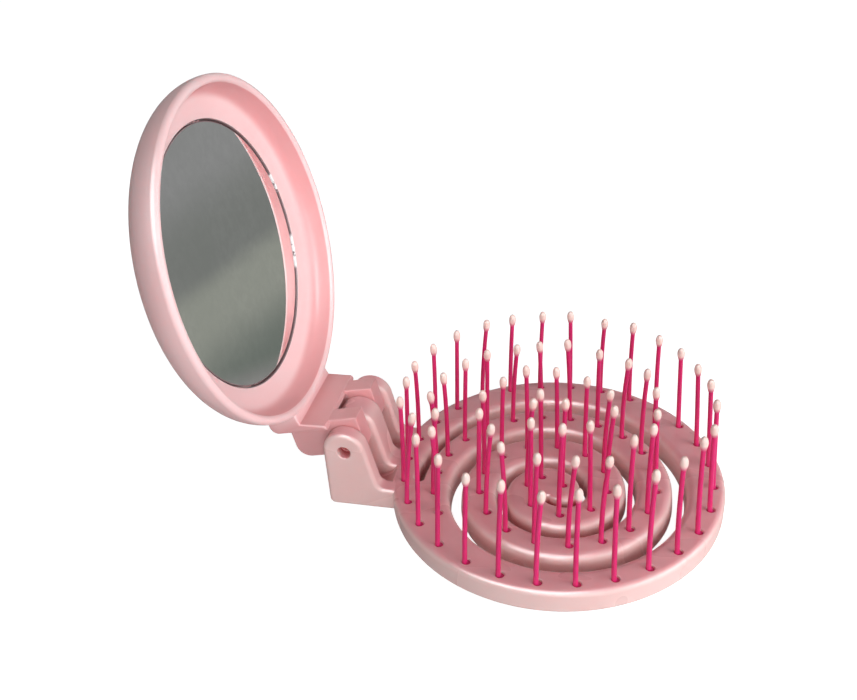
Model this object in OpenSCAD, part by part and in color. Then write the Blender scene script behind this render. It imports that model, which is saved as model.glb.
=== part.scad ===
// Folding round hairbrush with a mirror. Millimetres, +Z up.
// The origin is the middle of the brush disc on its resting face.
// The hinge is on the -X side and its axis runs along Y.

/* [Brush disc] */
// Outer diameter of the brush disc
disc_d = 74.4; // [73:0.1:78]
// Thickness of the brush disc
disc_h = 5.6; // [5.4:0.1:6.5]
// Rounding of the upper outer edge
disc_top_round = 1.4; // [0.8:0.1:1.8]
// Rounding of the lower outer edge
disc_bottom_round = 1.2; // [0.8:0.1:1.2]

/* [Coil] */
// Radius where the coil's middle line leaves the ring
coil_start_r = 28.3; // [28:0.1:28.6]
// Distance between neighbouring turns
coil_pitch = 10.4; // [10.2:0.1:10.6]
// Width of the gap beside the coil's outer turn
coil_gap = 3.2; // [3:0.1:3.4]
// Width of the gap at the coil's inner end
coil_gap_end = 1.6; // [1.4:0.1:2.4]
// How far the coil's centre lies from the disc's centre, along Y
coil_offset = -3.2; // [-3.5:0.1:-3]
// How far that centre moves along Y in each turn
coil_drift = -1.07; // [-1.2:0.01:-0.9]

/* [Pins] */
// Radius of the outer circle of pins
ring_pin_r = 34.5; // [34.3:0.1:34.6]
// Number of pins on the outer circle
ring_pin_count = 28; // [20:1:30]
// Number of pins along the coil
coil_pin_count = 35; // [20:1:35]
// Height of the middle of a pin's tip above the disc
pin_height = 21; // [15:0.5:21]
// Diameter of a pin
pin_d = 1.2; // [1:0.1:1.3]
// Part of its distance from the middle that a pin leans inward
pin_lean = 0.04; // [0:0.01:0.05]
// Diameter of a ball tip
tip_d = 1.9; // [1.6:0.1:2]
// Length of a ball tip
tip_h = 3.2; // [2.6:0.1:3.4]

/* [Hinge] */
// Distance of the hinge axis from the middle of the disc
hinge_x = 45.5; // [45.3:0.1:46]
// Height of the hinge axis above the resting face
hinge_z = 15.2; // [15:0.1:15.6]
// Diameter of the hinge pin
hinge_pin_d = 2.4; // [2:0.1:2.6]
// Width over the three ears
ears_w = 24.8; // [24.6:0.1:26]
// Thickness of each outer ear
outer_ear_t = 4.1; // [3.8:0.1:4.3]
// Width of the gap that takes a knuckle
knuckle_gap = 4.9; // [4.6:0.1:5]
// Radius of the ears' round tops
ear_r = 4.9; // [4.6:0.1:4.9]

/* [Mirror] */
// Angle between the mirror and the brush, 0 when folded shut
open_angle = 102; // [0:1:180]
// Outer diameter of the mirror's frame
mirror_d = 74.3; // [73:0.1:75]
// Diameter of the mirror glass
glass_d = 56.8; // [54:0.1:57]
// Thickness of the mirror glass
glass_t = 1; // [0.8:0.1:1]

/* [Hidden] */

// Colours, as the photograph shows them
shell_pink = [0.93, 0.72, 0.72];
coil_pink = [0.86, 0.64, 0.65];
pin_magenta = [0.80, 0.12, 0.37];
tip_cream = [0.98, 0.87, 0.84];
hinge_pink = [0.90, 0.64, 0.63];
glass_grey = [0.52, 0.54, 0.54];
tape_white = [0.90, 0.90, 0.88];

disc_r = disc_d / 2;
cut = 0.5; // how far a cutting shape runs past a face
round_fn = 96;
arc_step = 6;

// Layers inside the disc: cover, then pin strip, then the drilled top wall
cover_t = 1.6;
strip_t = 2;
strip_top = cover_t + strip_t;
strip_play = 0.1;
groove_half = 1.7;
ring_groove_in = ring_pin_r - 1.7;
ring_groove_out = ring_pin_r + 1;
hole_d = 2.1;
collar_d = 1.9;
collar_drop = 0.5; // depth of a pin's collar below the top face

// The coil starts at this direction and winds clockwise seen from above
coil_start_angle = 225;
coil_x = 0.4;
coil_step = 9;
groove_from = -6;
groove_to = 903;
slot_from = 39;
slot_to = 1056;
slot_taper = 90;
slot_in_first = 2.76;
slot_out_first = 4.5;
first_pin_arc = 6.9;
pin_spacing = 6.99;
last_pin_angles = [811, 900]; // the two pins where the coil's end curls tightest

function coil_centre(a) = [coil_x, coil_offset + coil_drift * a / 360];
function coil_r(a) = coil_start_r - coil_pitch * a / 360;
function coil_point(a, off = 0) =
    let (t = coil_start_angle - a) coil_centre(a) + (coil_r(a) + off) * [cos(t), sin(t)];
function slot_part(a) = min(1, (a - slot_from) / slot_taper);
function slot_gap(a) =
    let (full = slot_from + slot_taper)
    coil_gap + (coil_gap_end - coil_gap) * max(0, a - full) / (slot_to - full);
function slot_in(a) = slot_in_first + ((coil_pitch - slot_gap(a)) / 2 - slot_in_first) * slot_part(a);
function slot_out(a) = slot_out_first + ((coil_pitch + slot_gap(a)) / 2 - slot_out_first) * slot_part(a);
function slot_mid(a) = (slot_out(a) + slot_in(a)) / 2;
function slot_half(a) = (slot_out(a) - slot_in(a)) / 2;
// Angle along the coil at arc length s, from s = R a - P a^2 / 720 in degrees
function coil_angle(s) =
    let (p = coil_pitch / 720, q = s * 180 / PI)
    (coil_start_r - sqrt(coil_start_r * coil_start_r - 4 * p * q)) / (2 * p);

ring_feet = [for (i = [0:ring_pin_count - 1])
    let (t = 193.1 - i * 360 / ring_pin_count) ring_pin_r * [cos(t), sin(t)]];
coil_feet = concat(
    [for (i = [0:coil_pin_count - 3]) coil_point(coil_angle(first_pin_arc + i * pin_spacing))],
    [for (a = last_pin_angles) coil_point(a)]);

// Hinge
middle_ear_w = ears_w - 2 * outer_ear_t - 2 * knuckle_gap;
knuckle_play = 0.1;
knuckle_w = knuckle_gap - 2 * knuckle_play;
knuckle_y = (middle_ear_w + knuckle_gap) / 2;
pin_running_fit = 0.05;
slot_r = 13.6;
block_inner_x = 33;
pin_recess = 2.6;
pin_end_wall = 1.2;
mouth_d = hinge_pin_d + 0.6; // the wider mouth of the pin's hole, in the near ear

// Mirror, drawn folded shut: X runs from the hinge to the mirror's middle, Z away from the brush
mirror_r = mirror_d / 2;
mirror_x = hinge_x + 0.1;
lip_z = 8.15;
lip_in_r = 35;
back_round = 8.4;
back_round_z = 9.4;
back_stretch = 1.05;
back_z = back_round_z + back_stretch * back_round;
seat_r = glass_d / 2 + 0.35;
glass_z = 14.8;
tape_t = 0.2;
tape_r = 24;
seat_z = glass_z + glass_t + tape_t;
flange_in_z = 14.4;
flange_out_r = 33.6;
flange_out_z = 13.4;
wall_foot_z = 12.2;
neck_half_w = 10.6;
neck_bottom = 5.2;
neck_back = 16.6;
neck_front = 2.9;
arm_back = 13.3;
arm_bottom = 3.2;
arm_round = 3.2;
knuckle_front = 3.7;
knuckle_top = 6.2;
slot_floor = hinge_z - arm_back - 0.35; // clears the arms' back corners with the mirror laid flat

// Points on an arc, from angle a0 to a1; k stretches it along the second axis
function arc(c, r, a0, a1, n = 8, k = 1) =
    [for (i = [0:n]) let (t = a0 + (a1 - a0) * i / n) c + r * [cos(t), k * sin(t)]];
// Half circles that close a coil shape at its inner and at its outer end
function inner_cap(a, off, half) =
    let (t = coil_start_angle - a) arc(coil_point(a, off), half, t, t - 180, 12);
function outer_cap(a, off, half) =
    let (t = coil_start_angle - a) arc(coil_point(a, off), half, t - 180, t - 360, 12);

// Groove or strip under the coil, half each side of its middle line
module coil_track(half) {
    polygon(concat(
        [for (a = [groove_from + coil_step:coil_step:groove_to - coil_step / 2]) coil_point(a, half)],
        inner_cap(groove_to, 0, half),
        [for (a = [groove_to - coil_step:-coil_step:groove_from + coil_step / 2]) coil_point(a, -half)],
        outer_cap(groove_from, 0, half)));
}

// The gap that frees the coil from the ring and its turns from each other
module coil_slot() {
    polygon(concat(
        [for (a = [slot_from + coil_step:coil_step:slot_to - coil_step / 2]) coil_point(a, slot_out(a))],
        inner_cap(slot_to, slot_mid(slot_to), slot_half(slot_to)),
        [for (a = [slot_to - coil_step:-coil_step:slot_from + coil_step / 2]) coil_point(a, slot_in(a))],
        outer_cap(slot_from, slot_mid(slot_from), slot_half(slot_from))));
}

module ring_track(play) {
    difference() {
        circle(r = ring_groove_out - play, $fn = round_fn);
        circle(r = ring_groove_in + play, $fn = round_fn);
    }
}

module disc_body() {
    rotate_extrude($fn = round_fn)
        polygon(concat([[0, 0]],
            arc([disc_r - disc_bottom_round, disc_bottom_round], disc_bottom_round, -90, 0),
            arc([disc_r - disc_top_round, disc_h - disc_top_round], disc_top_round, 0, 90),
            [[0, disc_h]]));
}

// Side view of an ear and of the block under it, in X and Z
module ear_profile() {
    polygon(concat(
        arc([-hinge_x, hinge_z], ear_r, 10, 180, 16),
        arc([-hinge_x - ear_r + 1.8, 1.8], 1.8, 180, 270),
        [[-block_inner_x, 0], [-block_inner_x, disc_h], [-36.4, disc_h]],
        arc([-36.6, disc_h + 2.2], 2.2, 270, 190)));
}

module along_y(w, y = 0) {
    translate([0, y + w / 2, 0]) rotate([90, 0, 0]) linear_extrude(w) children();
}

module hinge_bore(d, w, y = 0) {
    translate([-hinge_x, y + w / 2, hinge_z]) rotate([90, 0, 0]) cylinder(d = d, h = w, $fn = round_fn);
}

module brush_frame() {
    color(shell_pink) difference() {
        union() {
            disc_body();
            along_y(ears_w) ear_profile();
        }
        translate([0, 0, -cut]) linear_extrude(disc_h + 2 * cut) coil_slot();
        translate([0, 0, -cut]) linear_extrude(strip_top + cut) {
            coil_track(groove_half);
            ring_track(0);
        }
        for (p = concat(ring_feet, coil_feet))
            translate([p[0], p[1], strip_top - cut])
                cylinder(d = hole_d, h = disc_h, $fn = 24);
        for (side = [-1, 1])
            hinge_bore(2 * slot_r, knuckle_gap, side * knuckle_y);
        for (side = [-1, 1])
            translate([-hinge_x - ear_r - cut, side * knuckle_y - knuckle_gap / 2, slot_floor])
                cube([ear_r + cut - 0.8, knuckle_gap, 4]);
        hinge_bore(hinge_pin_d, ears_w - pin_end_wall + cut, -(pin_end_wall + cut) / 2);
        hinge_bore(mouth_d, pin_recess + cut, (pin_recess - cut - ears_w) / 2);
    }
}

// A leaning pin on its collar; children stand at the tip's base
module on_pin(p) {
    r = norm(p);
    translate([p[0], p[1], disc_h]) rotate([0, 0, atan2(p[1], p[0])])
        rotate([0, -atan(pin_lean * r / pin_height), 0]) children();
}

module pins(feet) {
    for (p = feet) {
        translate([p[0], p[1], strip_top - cut])
            cylinder(d = collar_d, h = disc_h - collar_drop - strip_top + cut, $fn = 6);
        on_pin(p) translate([0, 0, -collar_drop - cut])
            cylinder(d = pin_d, h = pin_height - tip_h / 2 + collar_drop + cut, $fn = 4);
    }
}

module tips(feet) {
    for (p = feet)
        on_pin(p) translate([0, 0, pin_height - tip_h / 2])
            rotate_extrude($fn = 6)
                polygon([[0, 0], [0.62, 0], [tip_d / 2, 0.35 * tip_h], [0.42 * tip_d, 0.7 * tip_h],
                         [0.22 * tip_d, 0.94 * tip_h], [0, tip_h]]);
}

module ring_pin_strip() {
    color(pin_magenta) union() {
        translate([0, 0, cover_t]) linear_extrude(strip_t) ring_track(strip_play);
        pins(ring_feet);
    }
}

module coil_pin_strip() {
    color(pin_magenta) union() {
        translate([0, 0, cover_t]) linear_extrude(strip_t) coil_track(groove_half - strip_play);
        pins(coil_feet);
    }
}

module ring_pin_tips() {
    color(tip_cream) tips(ring_feet);
}

module coil_pin_tips() {
    color(tip_cream) tips(coil_feet);
}

module ring_back_cover() {
    color(shell_pink) linear_extrude(cover_t) ring_track(0);
}

module coil_back_cover() {
    color(coil_pink) linear_extrude(cover_t) coil_track(groove_half);
}

module hinge_pin() {
    pin_l = ears_w - pin_recess - pin_end_wall;
    color(hinge_pink) hinge_bore(hinge_pin_d, pin_l, (pin_recess - pin_end_wall) / 2);
}

// Puts a shape drawn folded shut into the open position
module opened() {
    translate([-hinge_x, 0, hinge_z]) rotate([0, -open_angle, 0]) children();
}

module mirror_bowl() {
    translate([mirror_x, 0, 0]) rotate_extrude($fn = round_fn)
        polygon(concat(
            [[0, seat_z], [seat_r, seat_z], [seat_r, flange_in_z], [flange_out_r, flange_out_z]],
            [[lip_in_r - 0.3, wall_foot_z]],
            arc([lip_in_r + 0.8, lip_z + 0.8], 0.8, 180, 270, 5),
            arc([mirror_r - 1.1, lip_z + 1.1], 1.1, 270, 360, 5),
            arc([mirror_r - back_round, back_round_z], back_round, 0, 90, 14, back_stretch),
            [[0, back_z]]));
}

// Side view of the neck, from the rim to just short of the ears
module neck_profile() {
    polygon(concat(
        [[neck_bottom, neck_front], [neck_bottom + 0.6, neck_front], [7.4, 8.8], [10.4, 9.4]],
        [[10.4, 14.4], [14.5, 14.8], [14.5, neck_back]],
        arc([neck_bottom + 2, neck_back - 2], 2, 90, 180)));
}

// Side view of a knuckle: its squared nose, its round back corner and its long arm
module arm_profile() {
    polygon(concat(
        [[-arm_bottom, -1], [-2, -arm_bottom + 0.4], [0, -knuckle_front], [knuckle_top, -knuckle_front],
         [knuckle_top, neck_front], [7.4, 8.8], [9, arm_back]],
        arc([0, arm_back - arm_round], arm_round, 90, 180)));
}

module mirror_frame() {
    color(shell_pink) opened() difference() {
        union() {
            mirror_bowl();
            along_y(2 * neck_half_w) neck_profile();
            for (side = [-1, 1])
                along_y(knuckle_w, side * knuckle_y) arm_profile();
        }
        translate([mirror_x, 0, lip_z - 10]) cylinder(r = lip_in_r - 0.3, h = wall_foot_z - lip_z + 10, $fn = round_fn);
        rotate([90, 0, 0]) cylinder(d = hinge_pin_d + 2 * pin_running_fit, h = ears_w, center = true, $fn = round_fn);
    }
}

module mirror_glass() {
    color(glass_grey) opened() translate([mirror_x, 0, glass_z])
        cylinder(d = glass_d, h = glass_t, $fn = round_fn);
}

module mirror_adhesive() {
    color(tape_white) opened() translate([mirror_x, 0, glass_z + glass_t])
        cylinder(r = tape_r, h = tape_t, $fn = round_fn);
}

brush_frame();
ring_pin_strip();
coil_pin_strip();
ring_pin_tips();
coil_pin_tips();
ring_back_cover();
coil_back_cover();
hinge_pin();
mirror_frame();
mirror_glass();
mirror_adhesive();
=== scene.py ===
import math

import bmesh
import bpy
from mathutils import Matrix, Vector


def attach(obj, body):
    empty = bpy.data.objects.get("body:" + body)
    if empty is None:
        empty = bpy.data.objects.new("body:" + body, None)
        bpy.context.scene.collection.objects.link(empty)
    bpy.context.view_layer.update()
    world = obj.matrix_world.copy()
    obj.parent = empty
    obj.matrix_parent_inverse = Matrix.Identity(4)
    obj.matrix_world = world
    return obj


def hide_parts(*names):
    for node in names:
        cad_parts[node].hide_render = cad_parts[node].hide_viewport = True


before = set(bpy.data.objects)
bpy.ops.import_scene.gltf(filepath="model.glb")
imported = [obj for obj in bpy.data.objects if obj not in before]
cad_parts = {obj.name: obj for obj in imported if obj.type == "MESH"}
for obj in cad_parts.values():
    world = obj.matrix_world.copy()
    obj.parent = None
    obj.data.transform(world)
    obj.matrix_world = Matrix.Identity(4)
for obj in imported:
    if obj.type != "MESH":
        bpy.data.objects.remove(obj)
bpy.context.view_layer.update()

# Everything below is worked out in millimetres and scaled to metres when a mesh is made.
MM = 0.001

# ---------------------------------------------------------------- sizes, mostly as in the CAD model
# R is a radius, H a height, T a thickness, W a width; angles along the coil are winding angles.
DISC_R = 37.2
DISC_H = 5.6
COIL_START_R = 28.3
COIL_PITCH = 10.4
COIL_GAP = 3.2
COIL_GAP_END = 1.45
COIL_X = 0.4
COIL_Y = -3.2
COIL_DRIFT = -1.07
COIL_START = 225.0
SLOT_FROM = 39.0
SLOT_TO = 1056.0
SLOT_TAPER = 90.0
SLOT_IN_FIRST = 2.76
SLOT_OUT_FIRST = 4.5
GROOVE_HALF = 1.7
GROOVE_FROM = -6.0
GROOVE_TO = 903.0
COVER_T = 1.6
COVER_FACE = 0.04
COVER_PLAY = 0.06
STRIP_TOP = 3.6
PLAY = 0.1
RING_PIN_R = 34.5
RING_GROOVE_IN = RING_PIN_R - 1.7
RING_GROOVE_OUT = RING_PIN_R + 1.0
RING_PINS = 28
COIL_PINS = 33
FIRST_PIN_ARC = 6.9
PIN_SPACING = 6.99
LAST_PIN_ANGLES = (811, 900)
HOLE_R = 0.98
COLLAR_R = 0.9
COLLAR_TOP = DISC_H - 0.38
PIN_R = 0.55
PIN_HEIGHT = 21.2
PIN_LEAN = 0.04
TIP_REACH = 33.75  # how far out a tip may stand, for the mirror to shut over it
TIP_H = 3.1
PIN_SIDES = 14
TIP_SIDES = 18

HINGE_X = 45.5
HINGE_Z = 15.2
HINGE_PIN_R = 1.2
EARS_W = 24.8
OUTER_EAR = 4.1
KNUCKLE_GAP = 4.9
EAR_R = 4.9
SLOT_R = 13.6
KNUCKLE_W = KNUCKLE_GAP - 0.2
KNUCKLE_Y = (EARS_W - 2 * OUTER_EAR - 2 * KNUCKLE_GAP + KNUCKLE_GAP) / 2
MIDDLE_EAR = EARS_W - 2 * OUTER_EAR - 2 * KNUCKLE_GAP
PIN_RECESS = 2.6
MOUTH_R = HINGE_PIN_R + 0.3
FAR_WALL = 1.2
EAR_ROUND = 1.0
EAR_CORNER = 1.4
BLOCK_CORNER = 1.8

OPEN_ANGLE = 102.0
MIRROR_R = 37.15
MIRROR_X = 45.6
LIP_Z = 8.15
LIP_IN = 35.0
BACK_ROUND = 8.4
BACK_ROUND_Z = 9.4
BACK_STRETCH = 1.05
GLASS_R = 28.4
GLASS_Z = 14.8
GLASS_T = 1.0
SEAT_R = 28.75
SEAT_Z = 16.0
NECK_HALF = 10.6


# ---------------------------------------------------------------- small geometry
def rad(a):
    return math.radians(a)


def arc(cx, cy, r, a0, a1, n, k=1.0):
    """Points on an arc, from angle a0 to a1; k stretches it along the second axis."""
    out = []
    for i in range(n + 1):
        t = rad(a0 + (a1 - a0) * i / n)
        out.append((cx + r * math.cos(t), cy + k * r * math.sin(t)))
    return out


def circle(cx, cy, r, n, clockwise=False):
    pts = arc(cx, cy, r, 0, 360, n)[:-1]
    return pts[::-1] if clockwise else pts


def coil_point(a, off=0.0):
    """Point on the coil at winding angle a, off outwards from the coil's middle line."""
    t = rad(COIL_START - a)
    r = COIL_START_R - COIL_PITCH * a / 360 + off
    return (COIL_X + r * math.cos(t), COIL_Y + COIL_DRIFT * a / 360 + r * math.sin(t))


def coil_angle(s):
    """Winding angle at arc length s."""
    p = COIL_PITCH / 720
    q = math.degrees(s)
    return (COIL_START_R - math.sqrt(COIL_START_R ** 2 - 4 * p * q)) / (2 * p)


def slot_edges(a):
    """Distances of the slot's two edges from the coil's middle line, at winding angle a."""
    part = min(1.0, (a - SLOT_FROM) / SLOT_TAPER)
    part = part * part * (3 - 2 * part) if part < 1 else 1.0
    full = SLOT_FROM + SLOT_TAPER
    gap = COIL_GAP + (COIL_GAP_END - COIL_GAP) * max(0.0, a - full) / (SLOT_TO - full)
    return (SLOT_IN_FIRST + ((COIL_PITCH - gap) / 2 - SLOT_IN_FIRST) * part,
            SLOT_OUT_FIRST + ((COIL_PITCH + gap) / 2 - SLOT_OUT_FIRST) * part)


def steps(a0, a1, step):
    n = max(1, round((a1 - a0) / step))
    return [a0 + (a1 - a0) * i / n for i in range(n + 1)]


def coil_loop(a0, a1, edge_in, edge_out, step=3.0):
    """Closed outline that follows the coil, with round ends, clockwise."""
    angles = steps(a0, a1, step)
    pts = [coil_point(a, edge_out(a)) for a in angles]
    for a, first in ((a1, 0), (a0, -180)):
        mid = (edge_in(a) + edge_out(a)) / 2
        half = (edge_out(a) - edge_in(a)) / 2
        cx, cy = coil_point(a, mid)
        t = COIL_START - a + first
        pts += arc(cx, cy, half, t, t - 180, 14)[1:-1]
        if a == a1:
            pts += [coil_point(b, edge_in(b)) for b in reversed(angles)]
    return pts


def area(loop):
    return sum(a[0] * b[1] - b[0] * a[1] for a, b in zip(loop, loop[1:] + loop[:1])) / 2


def ccw(loop):
    return loop if area(loop) > 0 else loop[::-1]


def cw(loop):
    return loop if area(loop) < 0 else loop[::-1]


def inset(loop, d, share=None):
    """Moves a loop to its left by d, or by a share of it at each point. Material is on the left."""
    out = []
    n = len(loop)
    for i in range(n):
        a, b, c = Vector(loop[i - 1]), Vector(loop[i]), Vector(loop[(i + 1) % n])
        d1, d2 = (b - a).normalized(), (c - b).normalized()
        n1, n2 = Vector((-d1.y, d1.x)), Vector((-d2.y, d2.x))
        m = (n1 + n2).normalized()
        out.append(tuple(b + m * (d * (share[i] if share else 1) / max(0.4, m.dot(n1)))))
    return out


class Shell:
    """Vertices and faces of one closed surface."""

    def __init__(self):
        self.verts = []
        self.faces = []

    def ring(self, loop, z):
        start = len(self.verts)
        self.verts += [(x, y, z) for x, y in loop]
        return list(range(start, start + len(loop)))

    def strip(self, a, b):
        n = len(a)
        for i in range(n):
            j = (i + 1) % n
            self.faces.append((a[i], a[j], b[j], b[i]))

    def wall(self, loop, profile, share=None):
        """Wall of a loop through (inset, z) pairs; returns its first and last ring."""
        rings = [self.ring(inset(loop, d, share) if d else loop, z) for d, z in profile]
        for a, b in zip(rings, rings[1:]):
            self.strip(a, b)
        return rings[0], rings[-1]

    def cap(self, rings):
        """Fills between one outer ring and the rings of its holes, all in one plane."""
        bm = bmesh.new()
        back = {}
        edges = []
        for ring in rings:
            made = [bm.verts.new((self.verts[i][0], self.verts[i][1], 0)) for i in ring]
            back.update(zip(made, ring))
            edges += [bm.edges.new((a, b)) for a, b in zip(made, made[1:] + made[:1])]
        bmesh.ops.triangle_fill(bm, use_beauty=True, use_dissolve=False, edges=edges, normal=(0, 0, 1))
        self.faces += [tuple(back[v] for v in f.verts) for f in bm.faces]
        bm.free()

    def mesh(self, name, place=None):
        """Blender mesh in metres; place maps (u, v, w) in millimetres to (x, y, z)."""
        me = bpy.data.meshes.new(name)
        pts = [place(v) for v in self.verts] if place else self.verts
        me.from_pydata([(x * MM, y * MM, z * MM) for x, y, z in pts], [], self.faces)
        bm = bmesh.new()
        bm.from_mesh(me)
        bmesh.ops.recalc_face_normals(bm, faces=bm.faces)
        bm.to_mesh(me)
        bm.free()
        return me


def edge_profile(z0, z1, r0, r1, n=6):
    """(inset, z) pairs of a wall from z0 to z1 with its edges rounded by r0 and r1."""
    out = []
    for i in range(n + 1 if r0 else 1):
        t = math.pi / 2 * i / n
        out.append((r0 * (1 - math.sin(t)), z0 + r0 * (1 - math.cos(t))))
    for i in range(n + 1 if r1 else 1):
        t = math.pi / 2 * i / n
        out.append((r1 * (1 - math.cos(t)), z1 - r1 * (1 - math.sin(t))))
    return out


def slab(loops, z0, z1, r0, r1, n=6):
    """Plate with the outline loops[0] and holes loops[1:], its edges rounded."""
    shell = Shell()
    lows, highs = [], []
    for k, loop in enumerate(loops):
        low, high = shell.wall(ccw(loop) if k == 0 else cw(loop), edge_profile(z0, z1, r0, r1, n))
        lows.append(low)
        highs.append(high)
    shell.cap(lows)
    shell.cap(highs)
    return shell


def lathe(profile, n, shell=None, place=None):
    """Turns (r, z) pairs about the z axis. A pair with r = 0 becomes one point."""
    shell = shell or Shell()
    place = place or (lambda v: v)
    rings = []
    for r, z in profile:
        start = len(shell.verts)
        if r < 1e-6:
            shell.verts.append(tuple(place((0.0, 0.0, z))))
            rings.append([start])
            continue
        for i in range(n):
            t = 2 * math.pi * i / n
            shell.verts.append(tuple(place((r * math.cos(t), r * math.sin(t), z))))
        rings.append(list(range(start, start + n)))
    for a, b in zip(rings, rings[1:]):
        if len(a) == 1 and len(b) == 1:
            continue
        if len(a) == 1:
            shell.faces += [(a[0], b[i], b[(i + 1) % n]) for i in range(n)]
        elif len(b) == 1:
            shell.faces += [(a[i], a[(i + 1) % n], b[0]) for i in range(n)]
        else:
            shell.strip(a, b)
    return shell


def smooth_curve(points, n=6):
    """Catmull-Rom curve through (r, z) points."""
    pts = [points[0]] + list(points) + [points[-1]]
    out = []
    for i in range(1, len(pts) - 2):
        p0, p1, p2, p3 = (Vector(p) for p in pts[i - 1:i + 3])
        for k in range(n):
            t = k / n
            out.append(tuple(0.5 * (2 * p1 + (p2 - p0) * t + (2 * p0 - 5 * p1 + 4 * p2 - p3) * t * t
                                    + (3 * p1 - p0 - 3 * p2 + p3) * t ** 3)))
    out.append(tuple(pts[-1]))
    return out


def as_object(name, me):
    obj = bpy.data.objects.new(name, me)
    bpy.context.scene.collection.objects.link(obj)
    return obj


def combine(obj, others, operation):
    """Boolean of obj with others, applied; the others are removed."""
    for other in others:
        mod = obj.modifiers.new("cut", "BOOLEAN")
        mod.operation = operation
        mod.solver = "EXACT"
        mod.object = other
        graph = bpy.context.evaluated_depsgraph_get()
        me = bpy.data.meshes.new_from_object(obj.evaluated_get(graph))
        obj.modifiers.clear()
        old = obj.data
        obj.data = me
        bpy.data.meshes.remove(old)
        bpy.data.objects.remove(other)
    return obj


def finish_mesh(obj, angle=32.0, weld=0.004):
    """Welds stray points, and shades the mesh smooth between edges sharper than angle."""
    me = obj.data
    bm = bmesh.new()
    bm.from_mesh(me)
    bmesh.ops.remove_doubles(bm, verts=bm.verts, dist=weld * MM)
    bmesh.ops.dissolve_degenerate(bm, dist=0.002 * MM, edges=bm.edges)
    bmesh.ops.recalc_face_normals(bm, faces=bm.faces)
    bm.to_mesh(me)
    bm.free()
    me.shade_smooth()
    me.set_sharp_from_angle(angle=rad(angle))
    mod = obj.modifiers.new("normals", "WEIGHTED_NORMAL")
    mod.keep_sharp = True
    mod.weight = 60
    return obj


# ---------------------------------------------------------------- camera, as the photograph was taken
CAMERA_PLACE = (18.08, -170.34, 145.74)
CAMERA_AZIMUTH, CAMERA_ELEVATION, CAMERA_ROLL = 15.051, 31.898, -3.982
IMAGE_WIDTH = 857
FOCAL_PIXELS = 959.3


def make_camera():
    """Camera at the place, turn and lens that were solved from the photograph."""
    data = bpy.data.cameras.new("camera")
    data.sensor_fit = "HORIZONTAL"
    data.sensor_width = 36.0
    data.lens = FOCAL_PIXELS * data.sensor_width / IMAGE_WIDTH
    data.clip_start = 0.01
    a, e, r = rad(CAMERA_AZIMUTH), rad(CAMERA_ELEVATION), rad(CAMERA_ROLL)
    right = Vector((math.cos(a), math.sin(a), 0))
    up = Vector((-math.sin(a) * math.sin(e), math.cos(a) * math.sin(e), math.cos(e)))
    back = Vector((math.sin(a) * math.cos(e), -math.cos(a) * math.cos(e), math.sin(e)))
    right, up = math.cos(r) * right + math.sin(r) * up, math.cos(r) * up - math.sin(r) * right
    obj = bpy.data.objects.new("camera", data)
    m = Matrix((right, up, back)).transposed().to_4x4()
    m.translation = Vector(CAMERA_PLACE) * MM
    obj.matrix_world = m
    bpy.context.scene.collection.objects.link(obj)
    bpy.context.scene.camera = obj


# ---------------------------------------------------------------- materials
def srgb(r, g, b):
    """sRGB 0-255 to the linear colour that a shader takes."""
    return tuple((c / 255 / 12.92 if c / 255 <= 0.04045 else ((c / 255 + 0.055) / 1.055) ** 2.4)
                 for c in (r, g, b)) + (1.0,)


class Nodes:
    """Short hand for building one material's nodes."""

    def __init__(self, name):
        self.mat = bpy.data.materials.new(name)
        self.mat.use_nodes = True
        self.tree = self.mat.node_tree
        self.tree.nodes.clear()
        self.out = self.add("ShaderNodeOutputMaterial")
        self.coord = self.add("ShaderNodeTexCoord").outputs["Object"]

    def add(self, kind, **values):
        node = self.tree.nodes.new(kind)
        for key, value in values.items():
            setattr(node, key, value)
        return node

    def link(self, a, b):
        self.tree.links.new(a, b)

    def noise(self, scale, detail=3.0, rough=0.5, stretch=None):
        node = self.add("ShaderNodeTexNoise")
        node.inputs["Scale"].default_value = scale
        node.inputs["Detail"].default_value = detail
        node.inputs["Roughness"].default_value = rough
        source = self.coord
        if stretch:
            mapping = self.add("ShaderNodeMapping")
            mapping.inputs["Scale"].default_value = stretch
            self.link(source, mapping.inputs["Vector"])
            source = mapping.outputs["Vector"]
        self.link(source, node.inputs["Vector"])
        return node.outputs["Fac"]

    def remap(self, value, a, b, c, d):
        node = self.add("ShaderNodeMapRange")
        node.interpolation_type = "SMOOTHSTEP"
        for key, v in (("From Min", a), ("From Max", b), ("To Min", c), ("To Max", d)):
            node.inputs[key].default_value = v
        self.link(value, node.inputs["Value"])
        return node.outputs["Result"]

    def mix(self, factor, a, b):
        node = self.add("ShaderNodeMix", data_type="RGBA")
        self.link(factor, node.inputs["Factor"])
        for value, socket in ((a, node.inputs[6]), (b, node.inputs[7])):
            if isinstance(value, tuple):
                socket.default_value = value
            else:
                self.link(value, socket)
        return node.outputs[2]

    def bump(self, height, strength, distance):
        node = self.add("ShaderNodeBump")
        node.inputs["Strength"].default_value = strength
        node.inputs["Distance"].default_value = distance
        self.link(height, node.inputs["Height"])
        return node.outputs["Normal"]

    def principled(self, colour, rough, normal=None, **sockets):
        node = self.add("ShaderNodeBsdfPrincipled")
        for value, socket in ((colour, node.inputs["Base Color"]), (rough, node.inputs["Roughness"])):
            if isinstance(value, (tuple, float)):
                socket.default_value = value
            else:
                self.link(value, socket)
        if normal:
            self.link(normal, node.inputs["Normal"])
        for key, value in sockets.items():
            node.inputs[key.replace("_", " ")].default_value = value
        self.link(node.outputs[0], self.out.inputs["Surface"])
        return node


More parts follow.
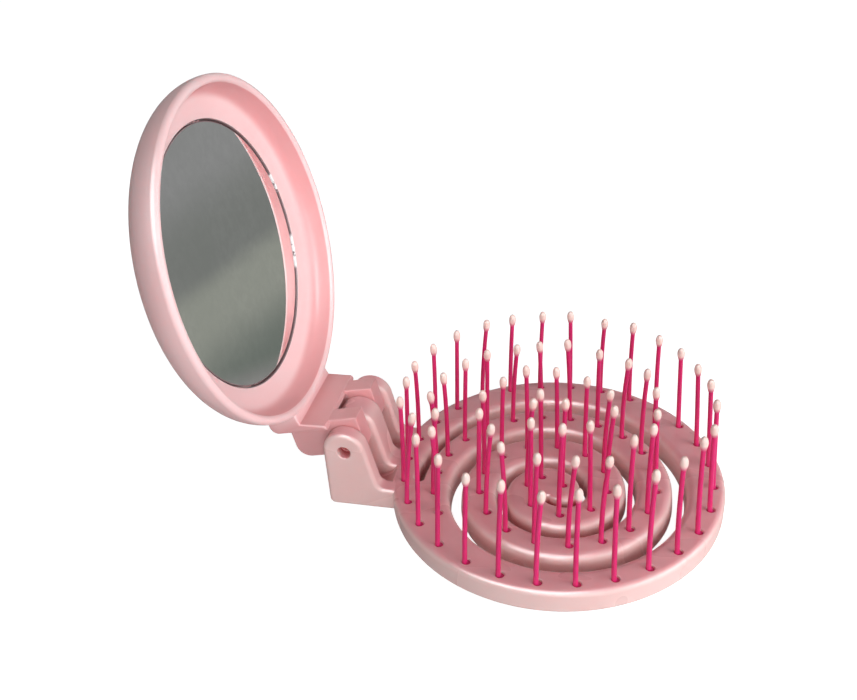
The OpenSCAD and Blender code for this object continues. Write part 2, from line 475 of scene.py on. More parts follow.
def moulded_pink(name, light, deep, top=None, inner=None, rough=0.28):
    """Satin moulded plastic: faint flow clouds in colour and gloss, a fine orange-peel skin.

    The plastic lets a little light through. Narrow hollows take a fuller, darker coral from an
    occlusion mask, which is painted shade. Where top is given, faces that look up along Z take that
    deeper tone, a painted shade; inner is the tone, also a painted shade, of the places where the
    mesh's attribute of that name is 1."""
    n = Nodes(name)
    clouds = n.remap(n.noise(70.0, 4.0, 0.55), 0.3, 0.7, 0.0, 1.0)
    flow = n.remap(n.noise(28.0, 2.0, 0.5, (1.0, 3.0, 1.0)), 0.35, 0.65, 0.0, 1.0)
    colour = n.mix(clouds, light, deep)
    # painted shade: faces that look up along Z take a deeper pink
    if top:
        split = n.add("ShaderNodeSeparateXYZ")
        n.link(n.add("ShaderNodeTexCoord").outputs["Normal"], split.inputs[0])
        colour = n.mix(n.remap(split.outputs["Z"], 0.55, 1.0, 0.0, 1.0), colour, n.mix(clouds, *top))
    # painted shade on the places that the attribute inner marks
    if inner:
        colour = n.mix(n.add("ShaderNodeAttribute", attribute_name="inner").outputs["Fac"], colour, inner)
    # painted shade: hollows are darkened to a deep coral by an occlusion mask
    painted_hollow_shade = n.add("ShaderNodeAmbientOcclusion", samples=16, only_local=True)
    painted_hollow_shade.inputs["Distance"].default_value = 0.006
    colour = n.mix(n.remap(painted_hollow_shade.outputs["AO"], 0.08, 0.42, 1.0, 0.0), colour, srgb(188, 72, 78))
    gloss = n.remap(flow, 0.0, 1.0, rough - 0.01, rough + 0.015)
    peel = n.bump(n.noise(900.0, 2.0, 0.5), 0.12, 0.00006)
    n.principled(colour, gloss, peel, Subsurface_Weight=0.3, Subsurface_Radius=(0.003, 0.001, 0.001),
                 Subsurface_Scale=1.0, IOR=1.5, Specular_IOR_Level=0.7)
    return n.mat


def pin_plastic():
    """Magenta see-through plastic, a little deeper where it is thick."""
    n = Nodes("pin_magenta")
    streaks = n.remap(n.noise(160.0, 2.0, 0.5, (1.0, 1.0, 0.3)), 0.3, 0.7, 0.0, 1.0)
    colour = n.mix(streaks, srgb(220, 44, 116), srgb(212, 38, 109))
    gloss = n.remap(n.noise(400.0, 2.0), 0.3, 0.7, 0.28, 0.36)
    n.principled(colour, gloss, n.bump(n.noise(900.0, 1.0), 0.05, 0.00002),
                 Subsurface_Weight=0.3, Subsurface_Radius=(0.002, 0.0004, 0.0008),
                 Subsurface_Scale=1.0, IOR=1.5)
    return n.mat


def hinge_pink_and_painted_shade():
    """Pink moulded hinge pin, deepened to a coral that is painted shade for the inside of the hinge hole,
    with a faint turned pattern on its end.
    """
    n = Nodes("hinge_pink")
    rings = n.noise(1400.0, 3.0, 0.6, (1.0, 0.2, 1.0))
    colour = n.mix(rings, srgb(212, 104, 100), srgb(200, 92, 90))
    gloss = n.remap(rings, 0.3, 0.7, 0.3, 0.42)
    n.principled(colour, gloss, n.bump(rings, 0.15, 0.00004), Subsurface_Weight=0.3,
                 Subsurface_Radius=(0.003, 0.001, 0.001), Subsurface_Scale=1.0, IOR=1.5)
    return n.mat


def tip_coating():
    """Cream coating that lets the pin show through where it is thin, near its lower end."""
    n = Nodes("tip_cream")
    rise = n.add("ShaderNodeAttribute", attribute_name="rise").outputs["Fac"]
    wobble = n.noise(900.0, 2.0)
    add = n.add("ShaderNodeMath", operation="MULTIPLY_ADD")
    n.link(wobble, add.inputs[0])
    add.inputs[1].default_value = 0.12
    n.link(rise, add.inputs[2])
    thin = n.remap(add.outputs[0], 0.1, 0.5, 1.0, 0.0)
    blotches = n.remap(n.noise(500.0, 2.0), 0.3, 0.7, 0.0, 1.0)
    cream = n.mix(blotches, srgb(252, 224, 216), srgb(248, 214, 206))
    colour = n.mix(thin, cream, srgb(226, 96, 136))
    gloss = n.remap(n.noise(700.0, 2.0), 0.3, 0.7, 0.3, 0.42)
    n.principled(colour, gloss, n.bump(n.noise(1800.0, 2.0), 0.12, 0.00005),
                 Subsurface_Weight=0.2, Subsurface_Radius=(0.001, 0.0006, 0.0005), Subsurface_Scale=1.0)
    return n.mat


def silvered_glass():
    """Front of the mirror: clean silver with a faint haze and wipe marks."""
    n = Nodes("mirror_silvered")
    haze = n.remap(n.noise(45.0, 4.0, 0.6, (1.0, 1.0, 0.6)), 0.35, 0.75, 0.0, 1.0)
    specks = n.remap(n.noise(420.0, 2.0, 0.6), 0.3, 0.7, 0.0, 1.0)
    colour = n.mix(haze, n.mix(specks, srgb(245, 246, 245), srgb(238, 239, 238)), srgb(236, 238, 236))
    gloss = n.remap(haze, 0.0, 1.0, 0.015, 0.035)
    n.principled(colour, gloss, n.bump(n.noise(30.0, 2.0), 0.05, 0.00004), Metallic=1.0)
    return n.mat


def ground_edge_gap_shade_and_glints():
    """Dark ground edge of the glass and painted shade for the gap at its seat, with painted glints: white
    patches in two places.
    """
    n = Nodes("ground_edge_gap_shade_and_glints")
    near = None
    for place, reach in (((-70.5, 27.6, 61.4), 2.0), ((-67.0, 25.4, 45.2), 3.2)):
        away = n.add("ShaderNodeVectorMath", operation="DISTANCE")
        n.link(n.coord, away.inputs[0])
        away.inputs[1].default_value = [c * MM for c in place]
        here = n.remap(away.outputs["Value"], reach * MM, 1.4 * reach * MM, 1.0, 0.0)
        if near is None:
            near = here
            continue
        both = n.add("ShaderNodeMath", operation="MAXIMUM")
        n.link(near, both.inputs[0])
        n.link(here, both.inputs[1])
        near = both.outputs[0]
    # painted glints: white patches on the two spots
    painted_glints = n.add("ShaderNodeMath", operation="MULTIPLY")
    n.link(n.remap(n.noise(900.0, 3.0, 0.6), 0.36, 0.5, 0.0, 1.0), painted_glints.inputs[0])
    n.link(near, painted_glints.inputs[1])
    painted_glints = painted_glints.outputs[0]
    colour = n.mix(painted_glints, srgb(138, 117, 119), srgb(252, 253, 253))
    gloss = n.remap(painted_glints, 0.0, 1.0, 0.35, 0.5)
    n.principled(colour, gloss, n.bump(painted_glints, 0.3, 0.00005))
    return n.mat


def foam_pad():
    n = Nodes("pad_white")
    cells = n.noise(1600.0, 3.0, 0.6)
    n.principled(n.mix(cells, srgb(236, 234, 228), srgb(220, 217, 210)), 0.85, n.bump(cells, 0.4, 0.0001))
    return n.mat


def white_floor_and_painted_reflection(name, glow, albedo):
    """White floor, lifted to white for the camera; for glossy rays beyond the object it glows grey in
    mottled bands, a painted reflection of a dim room.
    """
    n = Nodes(name)
    grain = n.noise(12.0, 3.0)
    diffuse = n.add("ShaderNodeBsdfDiffuse")
    n.link(n.mix(grain, (albedo, albedo, albedo, 1.0), (albedo * 0.98, albedo * 0.98, albedo * 0.98, 1.0)),
           diffuse.inputs["Color"])
    path = n.add("ShaderNodeLightPath")
    lift = n.add("ShaderNodeMath", operation="MULTIPLY")
    n.link(path.outputs["Is Camera Ray"], lift.inputs[0])
    lift.inputs[1].default_value = glow
    light = n.add("ShaderNodeEmission")
    n.link(lift.outputs[0], light.inputs["Strength"])
    total = n.add("ShaderNodeAddShader")
    n.link(diffuse.outputs[0], total.inputs[0])
    n.link(light.outputs[0], total.inputs[1])
    # painted reflection: grey bands that glow for glossy rays only, where Y is past 0.05 m
    turn = n.add("ShaderNodeMapping", vector_type="TEXTURE")
    turn.inputs["Rotation"].default_value = (0, 0, rad(56))
    turn.inputs["Scale"].default_value = (4.5, 1.0, 1.0)
    n.link(n.coord, turn.inputs["Vector"])
    clouds = n.add("ShaderNodeTexNoise")
    clouds.inputs["Scale"].default_value = 38.0
    clouds.inputs["Detail"].default_value = 4.0
    n.link(turn.outputs["Vector"], clouds.inputs["Vector"])
    place = n.add("ShaderNodeSeparateXYZ")
    n.link(n.coord, place.inputs[0])
    depth = place.outputs["Y"]
    for source, share in ((place.outputs["X"], 1.61), (clouds.outputs["Fac"], 0.05)):
        step = n.add("ShaderNodeMath", operation="MULTIPLY_ADD")
        n.link(source, step.inputs[0])
        step.inputs[1].default_value = share
        n.link(depth, step.inputs[2])
        depth = step.outputs[0]
    painted_reflection_grey = n.mix(n.remap(depth, 0.09, 0.22, 0.0, 1.0), srgb(113, 119, 113), srgb(149, 151, 143))
    painted_reflection_grey = n.mix(n.remap(depth, 0.28, 0.38, 0.0, 1.0), painted_reflection_grey, srgb(124, 126, 123))
    painted_reflection_grey = n.mix(n.remap(depth, 0.45, 0.95, 0.0, 1.0), painted_reflection_grey, srgb(142, 142, 142))
    far = n.add("ShaderNodeEmission")
    n.link(painted_reflection_grey, far.inputs["Color"])
    painted_reflection_zone = n.remap(place.outputs["Y"], 0.05, 0.08, 0.0, 1.0)
    both = n.add("ShaderNodeMath", operation="MULTIPLY")
    n.link(painted_reflection_zone, both.inputs[0])
    n.link(path.outputs["Is Glossy Ray"], both.inputs[1])
    pick = n.add("ShaderNodeMixShader")
    n.link(both.outputs[0], pick.inputs[0])
    n.link(total.outputs[0], pick.inputs[1])
    n.link(far.outputs[0], pick.inputs[2])
    n.link(pick.outputs[0], n.out.inputs["Surface"])
    return n.mat


# ---------------------------------------------------------------- pins' places
SHIFT = Vector((0.30, 0.08))  # each hole sits a little to the side of its pin's foot


def ring_feet():
    return [tuple(RING_PIN_R * Vector((math.cos(rad(193.1 - i * 360 / RING_PINS)),
                                       math.sin(rad(193.1 - i * 360 / RING_PINS)))))
            for i in range(RING_PINS)]


def coil_feet():
    angles = [coil_angle(FIRST_PIN_ARC + i * PIN_SPACING) for i in range(COIL_PINS)]
    return [coil_point(a) for a in angles + list(LAST_PIN_ANGLES)]


RING_FEET = ring_feet()
COIL_FEET = coil_feet()


def hole_centre(foot):
    """Middle of a pin's hole, kept on the flat inside the rim's rounding."""
    c = Vector(foot) + SHIFT
    return c * min(1.0, 34.7 / c.length)


COIL_LINE = [coil_point(a) for a in steps(GROOVE_FROM, GROOVE_TO, 2.0)]
SLOT_ROUND = 1.9


def half_edges(half):
    return (lambda a: -half), (lambda a: half)


# ---------------------------------------------------------------- brush frame
def ease(x):
    x = min(1.0, max(0.0, x))
    return x * x * (3 - 2 * x)


def slot_share(x, y):
    """Share of the full edge rounding at a point of the slot's outline.

    It is less at the slot's two ends, and where a turn is narrow between its pins and the slot."""
    ends = (coil_point(SLOT_TO, COIL_PITCH / 2),
            coil_point(SLOT_FROM, (SLOT_IN_FIRST + SLOT_OUT_FIRST) / 2))
    tail, head = (math.hypot(x - cx, y - cy) for cx, cy in ends)
    share = min(0.42 + 0.58 * ease((tail - 2.4) / 3.0), 0.45 + 0.55 * ease((head - 1.0) / 5.0))
    gap = min(math.hypot(x - px, y - py) for px, py in COIL_LINE)
    return min(share, max(0.3, (gap - 1.4) / SLOT_ROUND))


def disc_mesh():
    """Ring and coil in one: rounded rims, the slot, the pin holes and the grooves beneath."""
    shell = Shell()
    rim = ccw(circle(0, 0, DISC_R, 288))
    slot = cw(coil_loop(SLOT_FROM, SLOT_TO, lambda a: slot_edges(a)[0], lambda a: slot_edges(a)[1]))
    coil_groove = cw(coil_loop(GROOVE_FROM, GROOVE_TO, *half_edges(GROOVE_HALF), step=4.5))
    rim_low, rim_high = shell.wall(rim, edge_profile(0, DISC_H, 1.2, 1.35, 8))
    tail = [slot_share(x, y) for x, y in slot]
    draft = [(0.05, 0), (-0.2, 0.2), (-0.24, 0.7), (-0.15, 2.2)]
    slot_low, slot_high = shell.wall(slot, draft + edge_profile(0, DISC_H, 0, SLOT_ROUND, 8)[1:], tail)
    holes = []
    for feet in (RING_FEET, COIL_FEET):
        rings = []
        for foot in feet:
            c = hole_centre(foot)
            low = shell.ring(cw(circle(foot[0], foot[1], 0.8, 20)), STRIP_TOP)
            mid = [shell.ring(cw(circle(c.x, c.y, HOLE_R - d, 20)), DISC_H - z)
                   for d, z in ((0.02, 0.9), (0, 0.2), (-0.03, 0.07), (-0.1, 0))]
            for a, b in zip([low] + mid, mid):
                shell.strip(a, b)
            rings.append((low, mid[-1]))
        holes.append(rings)
    shell.cap([rim_high, slot_high] + [h for group in holes for _, h in group])
    groove_out = shell.wall(cw(circle(0, 0, RING_GROOVE_OUT, 180)), [(0, 0), (0, STRIP_TOP)])
    groove_in = shell.wall(ccw(circle(0, 0, RING_GROOVE_IN, 180)), [(0, 0), (0, STRIP_TOP)])
    coil = shell.wall(coil_groove, [(0, 0), (0, STRIP_TOP)])
    shell.cap([rim_low, groove_out[0]])
    shell.cap([groove_in[0], slot_low, coil[0]])
    shell.cap([groove_out[1], groove_in[1]] + [low for low, _ in holes[0]])
    shell.cap([coil[1]] + [low for low, _ in holes[1]])
    return shell.mesh("brush_disc")


def on_hinge_axis(v):
    """Maps a turned shape onto the hinge's axis."""
    return (v[0] - HINGE_X, v[2], v[1] + HINGE_Z)


def side_place(v):
    """Maps a plate drawn in X and Z, thick along w, into the row frame."""
    return (v[0], v[2], v[1])


def ear_outline(drop):
    """Side view of an ear and the block under it; drop lifts its flats clear of the disc's."""
    pts = arc(-HINGE_X, HINGE_Z, EAR_R, 10, 180, 28)
    pts += arc(-HINGE_X - EAR_R + EAR_CORNER, EAR_CORNER + drop, EAR_CORNER, 180, 270, 8)
    pts += [(-33.6, drop), (-33.6, DISC_H - 0.6), (-35.2, DISC_H - drop)]
    pts += arc(-36.6, DISC_H - drop + 2.2, 2.2, 270, 190, 10)
    return ccw(pts)


def block_outline(drop):
    """Side view of what is left under the knuckle gaps."""
    left = -HINGE_X - EAR_R + drop
    start = math.degrees(math.asin((DISC_H - HINGE_Z) / SLOT_R))
    floor = HINGE_Z - 13.3 - 0.35
    end = -180 + math.degrees(math.acos(-0.8 / SLOT_R))
    pts = arc(-HINGE_X, HINGE_Z, SLOT_R, start, -180 - end, 24)
    pts += [(-HINGE_X - 1.1, floor), (left + 0.45, floor)]
    pts += arc(left + 0.45, floor - 0.3, 0.3, 90, 165, 4)[1:]
    pts += arc(left + BLOCK_CORNER, BLOCK_CORNER + 2 * drop, BLOCK_CORNER, 205, 270, 8)
    pts += [(-33.8, 2 * drop), (-33.8, DISC_H - 0.8)]
    return ccw(pts)


def brush_frame():
    """Disc and coil, with the three ears and the block under them, and the hinge pin's hole."""
    body = as_object("brush_frame_body", disc_mesh())
    ears = []
    inner = MIDDLE_EAR / 2
    spans = [(-EARS_W / 2, -EARS_W / 2 + OUTER_EAR), (-inner, inner), (EARS_W / 2 - OUTER_EAR, EARS_W / 2)]
    for k, (y0, y1) in enumerate(spans):
        shell = slab([ear_outline(0.015)], y0, y1, EAR_ROUND, EAR_ROUND, 8)
        ears.append(as_object("ear%d" % k, shell.mesh("ear", side_place)))
    base = slab([block_outline(0.03)], -EARS_W / 2 + 1.5, EARS_W / 2 - 1.5, 0, 0)
    ears.append(as_object("base", base.mesh("base", side_place)))
    combine(body, ears, "UNION")
    face, seat = -EARS_W / 2, -EARS_W / 2 + PIN_RECESS
    r, mouth = HINGE_PIN_R + 0.02, MOUTH_R
    cutter = [(0, face - 1), (mouth + 0.5, face - 1), (mouth + 0.3, face), (mouth + 0.12, face + 0.1)]
    cutter += [(mouth + 0.03, face + 0.25), (mouth, face + 0.45), (mouth, seat), (r, seat)]
    cutter += [(r, -face - FAR_WALL), (0, -face - FAR_WALL)]
    bore = as_object("bore", lathe(cutter, 48).mesh("bore", on_hinge_axis))
    combine(body, [bore], "DIFFERENCE")
    return finish_mesh(body)


# ---------------------------------------------------------------- pins and tips
def pin_frame(foot, bend):
    """Points along a pin, its foot first, and its direction at the top."""
    x, y = foot
    top = PIN_HEIGHT - TIP_H / 2
    lean = Vector((-PIN_LEAN * x, -PIN_LEAN * y)) / PIN_HEIGHT
    path = []
    for i in range(6):
        s = i / 5
        h = top * s
        off = lean * h + Vector(bend) * s * s
        path.append(Vector((x + off.x, y + off.y, DISC_H + h)))
    end = (path[-1] - path[-2]).normalized()
    return path, end


def room_to_shut(foot, bend):
    """The bend, made less where the pin's tip would meet the wall of the mirror folded shut."""
    x, y = foot
    top = (PIN_HEIGHT - TIP_H / 2) / PIN_HEIGHT
    tip = Vector((x * (1 - PIN_LEAN * top), y * (1 - PIN_LEAN * top))) + Vector(bend)
    return Vector(bend) - tip.normalized() * max(0.0, tip.length - TIP_REACH)


def frame_at(origin, axis):
    """Maps local (u, v, w) onto a point with w along axis."""
    z = axis.normalized()
    x = Vector((1, 0, 0)) - z * z.x
    x.normalize()
    y = z.cross(x)
    return lambda v: origin + x * v[0] + y * v[1] + z * v[2]


def pins(name, feet, bends, strip):
    """A strip with its pins: each has a collar in its hole, and tapers a little to its top."""
    shell = strip
    for foot, bend in zip(feet, bends):
        cx, cy = hole_centre(foot)
        collar = [(0, STRIP_TOP - 0.4), (0.7, STRIP_TOP - 0.4), (0.7, STRIP_TOP + 0.3),
                  (COLLAR_R, DISC_H - 1.1), (COLLAR_R, COLLAR_TOP - 0.12),
                  (COLLAR_R - 0.06, COLLAR_TOP - 0.03), (COLLAR_R - 0.16, COLLAR_TOP),
                  (0, COLLAR_TOP + 0.02)]
        lathe(collar, TIP_SIDES, shell, lambda v: (v[0] + cx, v[1] + cy, v[2]))
        path, end = pin_frame(foot, bend)
        path = [Vector((foot[0], foot[1], COLLAR_TOP + z)) for z in (-0.5, 0.15)] + path
        radii = [PIN_R + 0.1, PIN_R + 0.04] + [PIN_R - 0.05 * i / 5 for i in range(6)]
        path.append(path[-1] + end * 0.5)
        radii.append(PIN_R - 0.12)
        rings = [shell.ring(circle(p.x, p.y, r, PIN_SIDES), p.z) for p, r in zip(path, radii)]
        for a, b in zip(rings, rings[1:]):
            shell.strip(a, b)
        shell.faces += [tuple(rings[0]), tuple(rings[-1])]
    return finish_mesh(as_object(name, shell.mesh(name)), 50)


TIP_PROFILE = [(0.0, 0.0), (0.45, 0.0), (0.58, 0.08), (0.64, 0.3), (0.74, 0.75), (0.82, 1.2), (0.85, 1.6),
               (0.82, 2.05), (0.72, 2.45), (0.53, 2.8), (0.28, 3.02), (0.0, 3.1)]


def tips(name, feet, bends):
    """The ball tips of a row of pins. Their attribute rise is the share of the height."""
    shell = Shell()
    rise = []
    for foot, bend in zip(feet, bends):
        path, end = pin_frame(foot, bend)
        lathe(TIP_PROFILE, TIP_SIDES, shell, frame_at(path[-1], end))
        for r, z in TIP_PROFILE:
            rise += [z / TIP_H] * (1 if r < 1e-6 else TIP_SIDES)
    me = shell.mesh(name)
    attribute = me.attributes.new("rise", "FLOAT", "POINT")
    attribute.data.foreach_set("value", rise)
    obj = as_object(name, me)
    me.shade_smooth()
    me.set_sharp_from_angle(angle=rad(60))
    return obj


def ring_strip(z0, z1, play, r0=0.0, r1=0.0):
    return slab([circle(0, 0, RING_GROOVE_OUT - play, 180), circle(0, 0, RING_GROOVE_IN + play, 180)],
                z0, z1, r0, r1, 3)


def coil_strip(z0, z1, play, r0=0.0, r1=0.0):
    return slab([coil_loop(GROOVE_FROM, GROOVE_TO, *half_edges(GROOVE_HALF - play), step=4.5)],
                z0, z1, r0, r1, 3)


# ---------------------------------------------------------------- mirror
def open_place(v):
    """Maps a shape drawn folded shut (t, y, h) to the photograph's open position."""
    a = rad(OPEN_ANGLE)
    t, y, h = v
    return (-HINGE_X + math.cos(a) * t - math.sin(a) * h, y, HINGE_Z + math.sin(a) * t + math.cos(a) * h)


def from_glass(point):
    """Distance from the glass's middle line, and height when folded shut, of a point in metres."""
    a = rad(OPEN_ANGLE)
    x, y, z = point[0] / MM + HINGE_X, point[1] / MM, point[2] / MM - HINGE_Z
    return math.hypot(math.cos(a) * x + math.sin(a) * z - MIRROR_X, y), math.cos(a) * z - math.sin(a) * x


def painted_wall_shade(point):
    """Weight of a painted shade: 1 on the steep inner wall of the bowl, and somewhat less on the neck and
    knuckles.
    """
    r, h = from_glass(point)
    if r > MIRROR_R + 0.2:
        return 0.85
    return ease((r - 32.8) / 1.7) if r < 35.4 and 9.0 < h < 13.9 else 0.0


def bowl_profile():
    inner = smooth_curve([(SEAT_R + 0.3, 14.38), (30.0, 14.22), (31.6, 14.02), (33.1, 13.72), (34.2, 13.15),
                          (34.85, 12.25), (35.12, 11.1), (35.22, 9.9), (LIP_IN + 0.24, 9.05)], 4)
    lip = arc(LIP_IN + 1.09, LIP_Z + 0.85, 0.85, 178, 270, 6)
    outer = arc(MIRROR_R - 1.2, LIP_Z + 1.2, 1.2, 270, 360, 7)
    back = arc(MIRROR_R - BACK_ROUND, BACK_ROUND_Z, BACK_ROUND, 0, 90, 22, BACK_STRETCH)
    seat = [(0, SEAT_Z), (SEAT_R - 6, SEAT_Z), (SEAT_R - 0.2, SEAT_Z), (SEAT_R, SEAT_Z - 0.2),
            (SEAT_R, 14.75), (SEAT_R + 0.05, 14.55), (SEAT_R + 0.15, 14.43)]
    back_z = BACK_ROUND_Z + BACK_STRETCH * BACK_ROUND
    return seat + inner + lip[1:] + outer[1:] + back + [(20, back_z), (10, back_z), (0, back_z)]


def neck_outline():
    pts = [(5.2, 2.9), (5.75, 2.9), (6.3, 3.3), (7.4, 8.8), (10.4, 9.4), (10.4, 14.45), (14.3, 14.85),
           (14.3, 16.6)]
    pts += arc(7.2, 14.6, 2.0, 90, 180, 8)
    return ccw(pts)


def knuckle_outline():
    pts = arc(-1.0, -1.5, 2.2, 180, 270, 6)
    pts += [(6.2, -3.7), (6.2, 3.4), (6.7, 5.5), (7.0, 13.3)]
    pts += arc(0, 10.1, 3.2, 90, 180, 10)
    return ccw(pts)


def mirror_frame():
    """Bowl, neck and the two knuckles in one, with the hinge pin's hole through the knuckles."""
    profile = bowl_profile()
    bowl = lathe(profile, 224, place=lambda v: (v[0] + MIRROR_X, v[1], v[2]))
    body = as_object("mirror_frame_body", bowl.mesh("mirror_bowl", open_place))
    flat = lambda v: open_place((v[0], v[2], v[1]))
    neck = slab([neck_outline()], -NECK_HALF, NECK_HALF, 0.55, 0.55, 5)
    parts = [as_object("neck", neck.mesh("neck", flat))]
    for side in (-1, 1):
        y0 = side * KNUCKLE_Y - KNUCKLE_W / 2
        shell = slab([knuckle_outline()], y0, y0 + KNUCKLE_W, 0.35, 0.35, 4)
        parts.append(as_object("knuckle", shell.mesh("knuckle", flat)))
    combine(body, parts, "UNION")
    bore = slab([circle(0, 0, HINGE_PIN_R + 0.05, 40)], -EARS_W / 2, EARS_W / 2, 0, 0)
    combine(body, [as_object("knuckle_bore", bore.mesh("knuckle_bore", flat))], "DIFFERENCE")
    return finish_mesh(body)


def mirror_glass():
    """Round glass with its edges ground off."""
    z0, z1 = GLASS_Z, GLASS_Z + GLASS_T
    profile = [(0, z0), (10, z0), (20, z0), (GLASS_R - 0.4, z0), (GLASS_R - 0.2, z0),
               (GLASS_R - 0.06, z0 + 0.06),
               (GLASS_R, z0 + 0.2), (GLASS_R, z1 - 0.1), (GLASS_R - 0.1, z1), (0, z1)]
    shell = lathe(profile, 192, place=lambda v: (v[0] + MIRROR_X, v[1], v[2]))
    obj = as_object("mirror_glass_body", shell.mesh("mirror_glass", open_place))
    obj.data.shade_smooth()
    obj.data.set_sharp_from_angle(angle=rad(20))
    return obj


def hinge_pin():
    """Plain pin with its ends chamfered, from the near ear's seat to the far ear's wall."""
    y0, y1 = -EARS_W / 2 + PIN_RECESS, EARS_W / 2 - FAR_WALL
    r = HINGE_PIN_R - 0.01
    profile = [(0, y0), (r - 0.25, y0), (r, y0 + 0.25), (r, y1 - 0.2), (r - 0.2, y1), (0, y1)]
    return lathe(profile, 40).mesh("hinge_pin", on_hinge_axis)


# ---------------------------------------------------------------- stage and light
def make_stage():
    me = bpy.data.meshes.new("floor")
    s = 3.0
    me.from_pydata([(-s, -s, 0), (s, -s, 0), (s, s, 0), (-s, s, 0)], [], [(0, 1, 2, 3)])
    floor = as_object("floor", me)
    me.materials.append(white_floor_and_painted_reflection("floor_white", 0.9, 0.6))


def area_light(name, place, aim, size, power, colour=(1, 1, 1)):
    data = bpy.data.lights.new(name, "AREA")
    data.shape = "RECTANGLE"
    data.size, data.size_y = size
    data.energy = power
    data.color = colour
    obj = bpy.data.objects.new(name, data)
    obj.location = place
    obj.rotation_euler = (Vector(aim) - Vector(place)).to_track_quat("-Z", "Y").to_euler()
    bpy.context.scene.collection.objects.link(obj)
    return obj


def make_light():
    """A wide soft light from the right, a weaker one from the front, and a dim even room.

    A soft box overhead only puts a gleam on the rounded edges."""
    world = bpy.data.worlds.new("studio")
    bpy.context.scene.world = world
    world.use_nodes = True
    tree = world.node_tree
    tree.nodes.clear()
    out = tree.nodes.new("ShaderNodeOutputWorld")
    path = tree.nodes.new("ShaderNodeLightPath")
    last = None
    for strength, ray in ((0.15, None), (0.6, "Is Glossy Ray"), (1.0, "Is Transmission Ray"),
                          (1.0, "Is Camera Ray")):
        back = tree.nodes.new("ShaderNodeBackground")
        back.inputs["Color"].default_value = (1, 1, 1, 1) if ray else (1, 0.9, 0.89, 1)
        back.inputs["Strength"].default_value = strength
        if last is None:
            last = back
            continue
        mix = tree.nodes.new("ShaderNodeMixShader")
        tree.links.new(path.outputs[ray], mix.inputs[0])
        tree.links.new(last.outputs[0], mix.inputs[1])
        tree.links.new(back.outputs[0], mix.inputs[2])
        last = mix
    tree.links.new(last.outputs[0], out.inputs["Surface"])
    aim = (-0.01, 0, 0.03)
    area_light("key", (0.72, -0.17, 0.31), aim, (0.8, 0.6), 5.9)
    area_light("fill", (0.18, -0.77, 0.22), aim, (0.6, 0.4), 3.1)
    gleam = area_light("gleam", (-0.10, -0.37, 0.54), aim, (0.66, 0.5), 11.0)
    gleam.visible_diffuse = False


# ---------------------------------------------------------------- build
bpy.context.scene.view_settings.view_transform = "Standard"
make_camera()
make_stage()
make_light()

# the last two colours are a painted shade for faces that look up
BRUSH_PINK = moulded_pink("brush_pink", srgb(246, 210, 207), srgb(244, 205, 202),
                          (srgb(238, 176, 180), srgb(234, 168, 173)))
# inner is a painted shade on the bowl's inner wall, neck and knuckles
MIRROR_PINK = moulded_pink("mirror_pink", srgb(247, 209, 210), srgb(245, 204, 205),
                           inner=srgb(226, 162, 164), rough=0.4)
PIN = pin_plastic()
TIP = tip_coating()

# How far each pin's top is bent aside, along X and Y
RING_BENDS = [
    (-1.26, -0.2), (-0.25, 0.3), (-1.1, -0.3), (-0.45, 0.3), (-0.5, 0.9), (0.5, 1.4),
    (0.3, 0.5), (0.4, 0.4), (-0.2, 0.5), (0.7, -0.9), (0.5, 0.2), (0.4, -0.6), (0.1, -0.5),
    (-0.15, -0.4), (0, 0.6), (0.2, 0.5), (0.3, -0.7), (0.6, 1.5), (0.7, 1.0), (0.8, 1.4),
    (0.2, 0.1), (0.3, 0.3), (0.8, -0.4), (0.3, 0.6), (0.3, -0.6), (0.1, 0.2), (-0.5, 0.7),
    (0.8, 1.3)
]
COIL_BENDS = [
    (-1.0, 0), (0.45, 0), (-1.0, -0.6), (-0.85, 0.3), (0.05, 0.5), (0, 0), (0.8, -0.5),
    (-0.35, -0.6), (-0.7, 0.6), (0.25, -0.8), (1.05, -0.4), (0.85, 0.7), (0.3, 0),
    (0, -1.0), (0.7, 0.1), (0.5, 1.4), (1.25, -1.2), (1.1, 0), (0.4, -0.3), (-0.8, -0.3),
    (0.8, 0.6), (0.15, -0.3), (-0.3, -0.3), (0.3, -0.4), (-0.4, 0.45), (-0.25, -0.4),
    (0.3, -1.0), (1.0, -0.4), (1.1, 0.3), (-0.2, 0.45), (0.35, 1.2), (-0.05, 0.15),
    (0.9, 0.75), (-0.45, 1.4), (0.35, 0.75)
]
RING_BENDS = [room_to_shut(foot, bend) for foot, bend in zip(RING_FEET, RING_BENDS)]


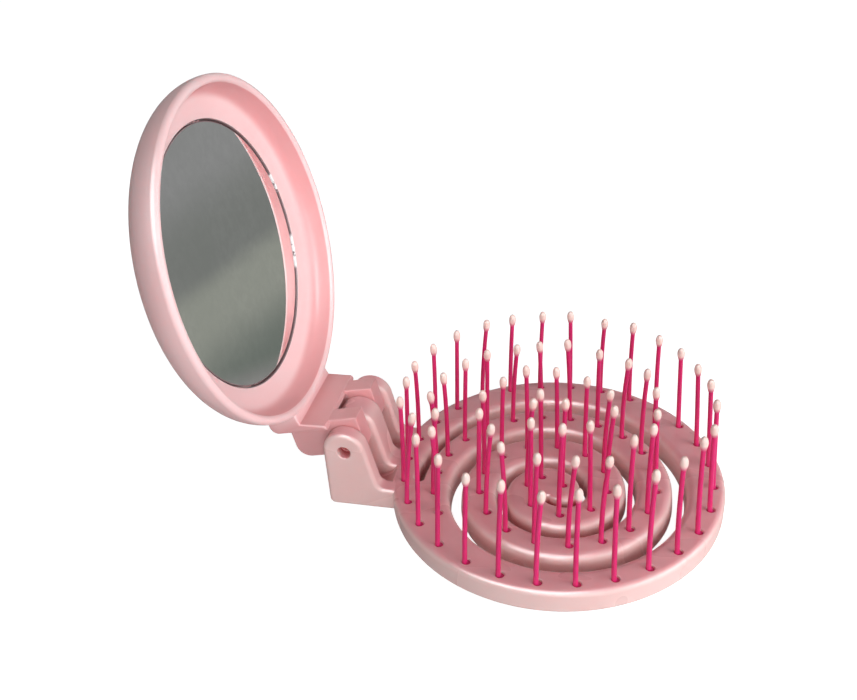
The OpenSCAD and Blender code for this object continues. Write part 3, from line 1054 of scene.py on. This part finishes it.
def dress(obj, body, node, slot, *materials):
    """Gives a piece its materials and its body, and hides the CAD node it stands for; slot is not used."""
    obj.data.materials.clear()
    for m in materials:
        obj.data.materials.append(m)
    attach(obj, body)
    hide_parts(node)
    return obj


dress(brush_frame(), "brush", "brush_frame", "brush_shell", BRUSH_PINK)
dress(pins("ring_pins", RING_FEET, RING_BENDS, ring_strip(COVER_T, STRIP_TOP, PLAY)),
      "brush", "ring_pin_strip", "pin_magenta", PIN)
dress(pins("coil_pins", COIL_FEET, COIL_BENDS, coil_strip(COVER_T, STRIP_TOP, PLAY)),
      "brush", "coil_pin_strip", "pin_magenta", PIN)
dress(tips("ring_tips", RING_FEET, RING_BENDS), "brush", "ring_pin_tips", "tip_cream", TIP)
dress(tips("coil_tips", COIL_FEET, COIL_BENDS), "brush", "coil_pin_tips", "tip_cream", TIP)
for kind, strip in (("ring", ring_strip), ("coil", coil_strip)):
    cover = strip(COVER_FACE, COVER_T, COVER_PLAY, 0.25).mesh(kind + "_cover")
    cover = finish_mesh(as_object(kind + "_cover_body", cover))
    dress(cover, "brush", kind + "_back_cover", kind + "_cover", BRUSH_PINK)
pin_body = finish_mesh(as_object("hinge_pin_body", hinge_pin()))
dress(pin_body, "brush", "hinge_pin", "hinge_pink", hinge_pink_and_painted_shade())
GROUND_EDGE_GAP_SHADE_GLINTS = ground_edge_gap_shade_and_glints()
bowl = mirror_frame()
# painted shade: the attribute inner deepens the pink of the bowl's inner wall, neck and knuckles
tone = bowl.data.attributes.new("inner", "FLOAT", "POINT")
tone.data.foreach_set("value", [painted_wall_shade(v.co) for v in bowl.data.vertices])
dress(bowl, "mirror", "mirror_frame", "mirror_shell", MIRROR_PINK, GROUND_EDGE_GAP_SHADE_GLINTS)
for face in bowl.data.polygons:
    # the wall of the glass's seat takes the dark colour, a painted shade of a narrow gap
    r, h = from_glass(face.center)
    if r < SEAT_R + 0.1 and GLASS_Z - 0.34 < h < SEAT_Z - 0.1:
        face.material_index = 1
glass = dress(mirror_glass(), "mirror", "mirror_glass", "mirror_silvered", silvered_glass(), GROUND_EDGE_GAP_SHADE_GLINTS)
front = Vector((math.sin(rad(OPEN_ANGLE)), 0, -math.cos(rad(OPEN_ANGLE))))
for face in glass.data.polygons:
    # only the two flat faces are silvered; the edge takes the dark ground edge with the painted glints
    face.material_index = 0 if abs(face.normal.dot(front)) > 0.97 else 1

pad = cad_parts["mirror_adhesive"]
pad.data.materials.clear()
pad.data.materials.append(foam_pad())
